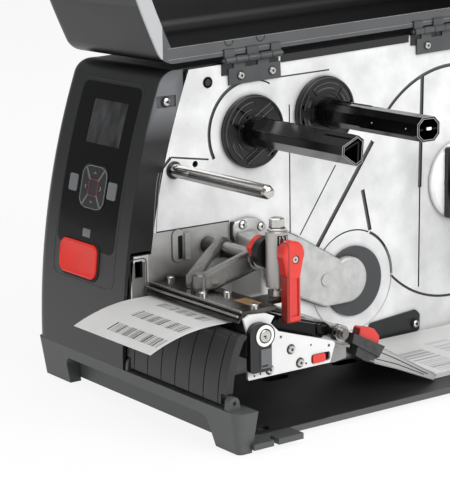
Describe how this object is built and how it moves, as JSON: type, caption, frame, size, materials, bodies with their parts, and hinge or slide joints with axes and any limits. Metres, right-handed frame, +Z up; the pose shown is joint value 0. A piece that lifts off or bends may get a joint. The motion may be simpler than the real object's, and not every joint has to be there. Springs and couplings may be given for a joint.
{
  "type": "label printer",
  "caption": "Desktop thermal label printer with its media door open: control panel, ribbon spindles, print head with red lever, platen, label stock and front flap.",
  "frame": {"origin": "centre of the whole printer's footprint box at table height, door open", "axes": "+X to the media side, -Y the side the label comes out of, +Z up; the door hinge line lies above X = 0"},
  "size_m": [0.292, 0.528, 0.5531],
  "materials": {
    "dark_moulding": "fine-textured dark grey moulding",
    "base_moulding": "textured mid-dark grey moulding",
    "gloss_black": "glossy black overlay",
    "key_grey": "satin grey key",
    "display": "unlit display glass over its board",
    "cast_plate": "matt pale die casting",
    "dark_casting": "dark painted casting",
    "gunmetal": "satin gunmetal finish",
    "steel": "turned steel",
    "plated_steel": "zinc-plated screws",
    "white_steel": "white painted sheet",
    "black_plastic": "black moulding",
    "red_plastic": "red touch-point plastic",
    "rubber_black": "black rubber",
    "light_disc": "light grey disc",
    "rim_grey": "light grey flange",
    "smoked_clear": "smoked clear pane",
    "paper": "white label stock",
    "board_green": "green circuit board"
  },
  "bodies": {
    "frame": {"base_tray": "base_moulding", "rubber_feet": "rubber_black", "front_bezel": "dark_moulding", "overlay_panel": "gloss_black", "display_board": "display", "chassis_plate": "cast_plate", "drive_cover": "cast_plate", "hatch_cover": "dark_casting", "top_strip": "dark_moulding", "plate_screws": "plated_steel", "electronics_cover": "dark_moulding", "rear_panel": "dark_casting", "power_inlet": "black_plastic", "main_board": "board_green", "drive_motor": "black_plastic", "drive_belts": "rubber_black", "shaft_bushes": "black_plastic", "ribbon_shaft": "steel", "plate_shafts": "steel", "toggle_bracket": "cast_plate", "pressure_tower": "steel", "side_bracket": "white_steel", "latch_block": "black_plastic", "label_stock": "paper", "media_tray": "dark_casting", "upper_guide": "gloss_black", "fixed_leaves": "black_plastic"},
    "door": {"media_door": "dark_moulding", "door_rim": "rim_grey", "door_window": "smoked_clear", "door_leaves": "black_plastic"},
    "flap": {"front_flap": "dark_moulding"},
    "lever": {"head_lever": "red_plastic", "cam_shaft": "black_plastic"},
    "head": {"head_plate": "gunmetal", "print_head": "dark_casting", "tear_bar": "steel", "head_bolts": "plated_steel", "head_yoke": "gunmetal"},
    "plunger_pin": {"plunger": "steel"},
    "knob": {"pressure_knob": "steel"},
    "platen": {"platen_roller": "rubber_black", "platen_shaft": "steel"},
    "rotor": {"motor_rotor": "steel"},
    "takeup": {"takeup_disc": "black_plastic", "takeup_barrel": "gloss_black"},
    "supply": {"supply_disc": "black_plastic", "supply_barrel": "gloss_black"},
    "roller": {"guide_roller": "steel"},
    "hub": {"media_disc": "light_disc", "media_hanger": "black_plastic"},
    "guide": {"media_guide": "base_moulding", "guide_lock": "red_plastic"},
    "sensor": {"sensor_slider": "red_plastic"},
    "feed": {"feed_button": "red_plastic"},
    "nav": {"nav_ring": "key_grey"},
    "select": {"key_select": "key_grey"},
    "menu": {"key_menu": "key_grey"},
    "back": {"key_back": "key_grey"},
    "rocker": {"power_rocker": "black_plastic"}
  },
  "joints": [
    {"name": "media_door", "type": "hinge", "parent": "frame", "child": "door", "pos_m": [0, -0.121, 0.2656], "axis": [0, 0.999, 0.0454], "range_deg": [0, 180]},
    {"name": "front_flap", "type": "hinge", "parent": "frame", "child": "flap", "pos_m": [0.063, -0.212, 0.0384], "axis": [1, 0, 0], "range_deg": [0, 88]},
    {"name": "lever_turn", "type": "hinge", "parent": "frame", "child": "lever", "pos_m": [0.113, -0.1422, 0.1312], "axis": [1, 0, 0], "range_deg": [0, 90]},
    {"name": "head_lift", "type": "hinge", "parent": "frame", "child": "head", "pos_m": [0.033, -0.136, 0.1215], "axis": [1, 0, 0], "range_deg": [-8, 0]},
    {"name": "plunger_lift", "type": "slide", "parent": "frame", "child": "plunger_pin", "axis": [0, 0, 1], "range_m": [0, 0.0015]},
    {"name": "pressure_turn", "type": "hinge", "parent": "frame", "child": "knob", "pos_m": [0.095, -0.1422, 0.155], "axis": [0, 0, 1], "range_deg": [-180, 180]},
    {"name": "platen_turn", "type": "hinge", "parent": "frame", "child": "platen", "pos_m": [0.058, -0.1767, 0.0807], "axis": [1, 0, 0], "continuous": true},
    {"name": "rotor_turn", "type": "hinge", "parent": "frame", "child": "rotor", "pos_m": [-0.04, -0.108, 0.08], "axis": [1, 0, 0], "continuous": true},
    {"name": "takeup_turn", "type": "hinge", "parent": "frame", "child": "takeup", "pos_m": [0.06, -0.0913, 0.2075], "axis": [1, 0, 0], "continuous": true},
    {"name": "supply_turn", "type": "hinge", "parent": "frame", "child": "supply", "pos_m": [0.06, -0.0177, 0.2161], "axis": [1, 0, 0], "continuous": true},
    {"name": "roller_turn", "type": "hinge", "parent": "frame", "child": "roller", "pos_m": [0.06, -0.0982, 0.0674], "axis": [1, 0, 0], "continuous": true},
    {"name": "hub_turn", "type": "hinge", "parent": "frame", "child": "hub", "pos_m": [0.06, 0.134, 0.142], "axis": [1, 0, 0], "continuous": true},
    {"name": "guide_slide", "type": "slide", "parent": "frame", "child": "guide", "axis": [1, 0, 0], "range_m": [-0.001, 0.006]},
    {"name": "sensor_slide", "type": "slide", "parent": "frame", "child": "sensor", "axis": [0, 1, 0], "range_m": [-0.0005, 0.005]},
    {"name": "feed_press", "type": "slide", "parent": "frame", "child": "feed", "axis": [0, 0.9923, -0.1236], "range_m": [0, 0.0015], "stiffness_N_per_m": 600},
    {"name": "nav_press", "type": "slide", "parent": "frame", "child": "nav", "axis": [0, 0.9762, -0.2169], "range_m": [0, 0.0006], "stiffness_N_per_m": 800},
    {"name": "select_press", "type": "slide", "parent": "frame", "child": "select", "axis": [0, 0.9762, -0.2169], "range_m": [0, 0.0006], "stiffness_N_per_m": 800},
    {"name": "menu_press", "type": "slide", "parent": "frame", "child": "menu", "axis": [0, 0.9761, -0.2173], "range_m": [0, 0.0006], "stiffness_N_per_m": 800},
    {"name": "back_press", "type": "slide", "parent": "frame", "child": "back", "axis": [0, 0.9763, -0.2166], "range_m": [0, 0.0006], "stiffness_N_per_m": 800},
    {"name": "power_rock", "type": "hinge", "parent": "frame", "child": "rocker", "pos_m": [-0.085, 0.257, 0.0595], "axis": [1, 0, 0], "range_deg": [-12, 0]}
  ],
  "couplings": [
    {"joint": "head_lift", "follows": "lever_turn", "ratio": -0.088889},
    {"joint": "plunger_lift", "follows": "lever_turn", "m_per_rad": 0.00095493},
    {"joint": "rotor_turn", "follows": "platen_turn", "ratio": 1.5714},
    {"joint": "takeup_turn", "follows": "platen_turn", "ratio": 0.6875}
  ]
}
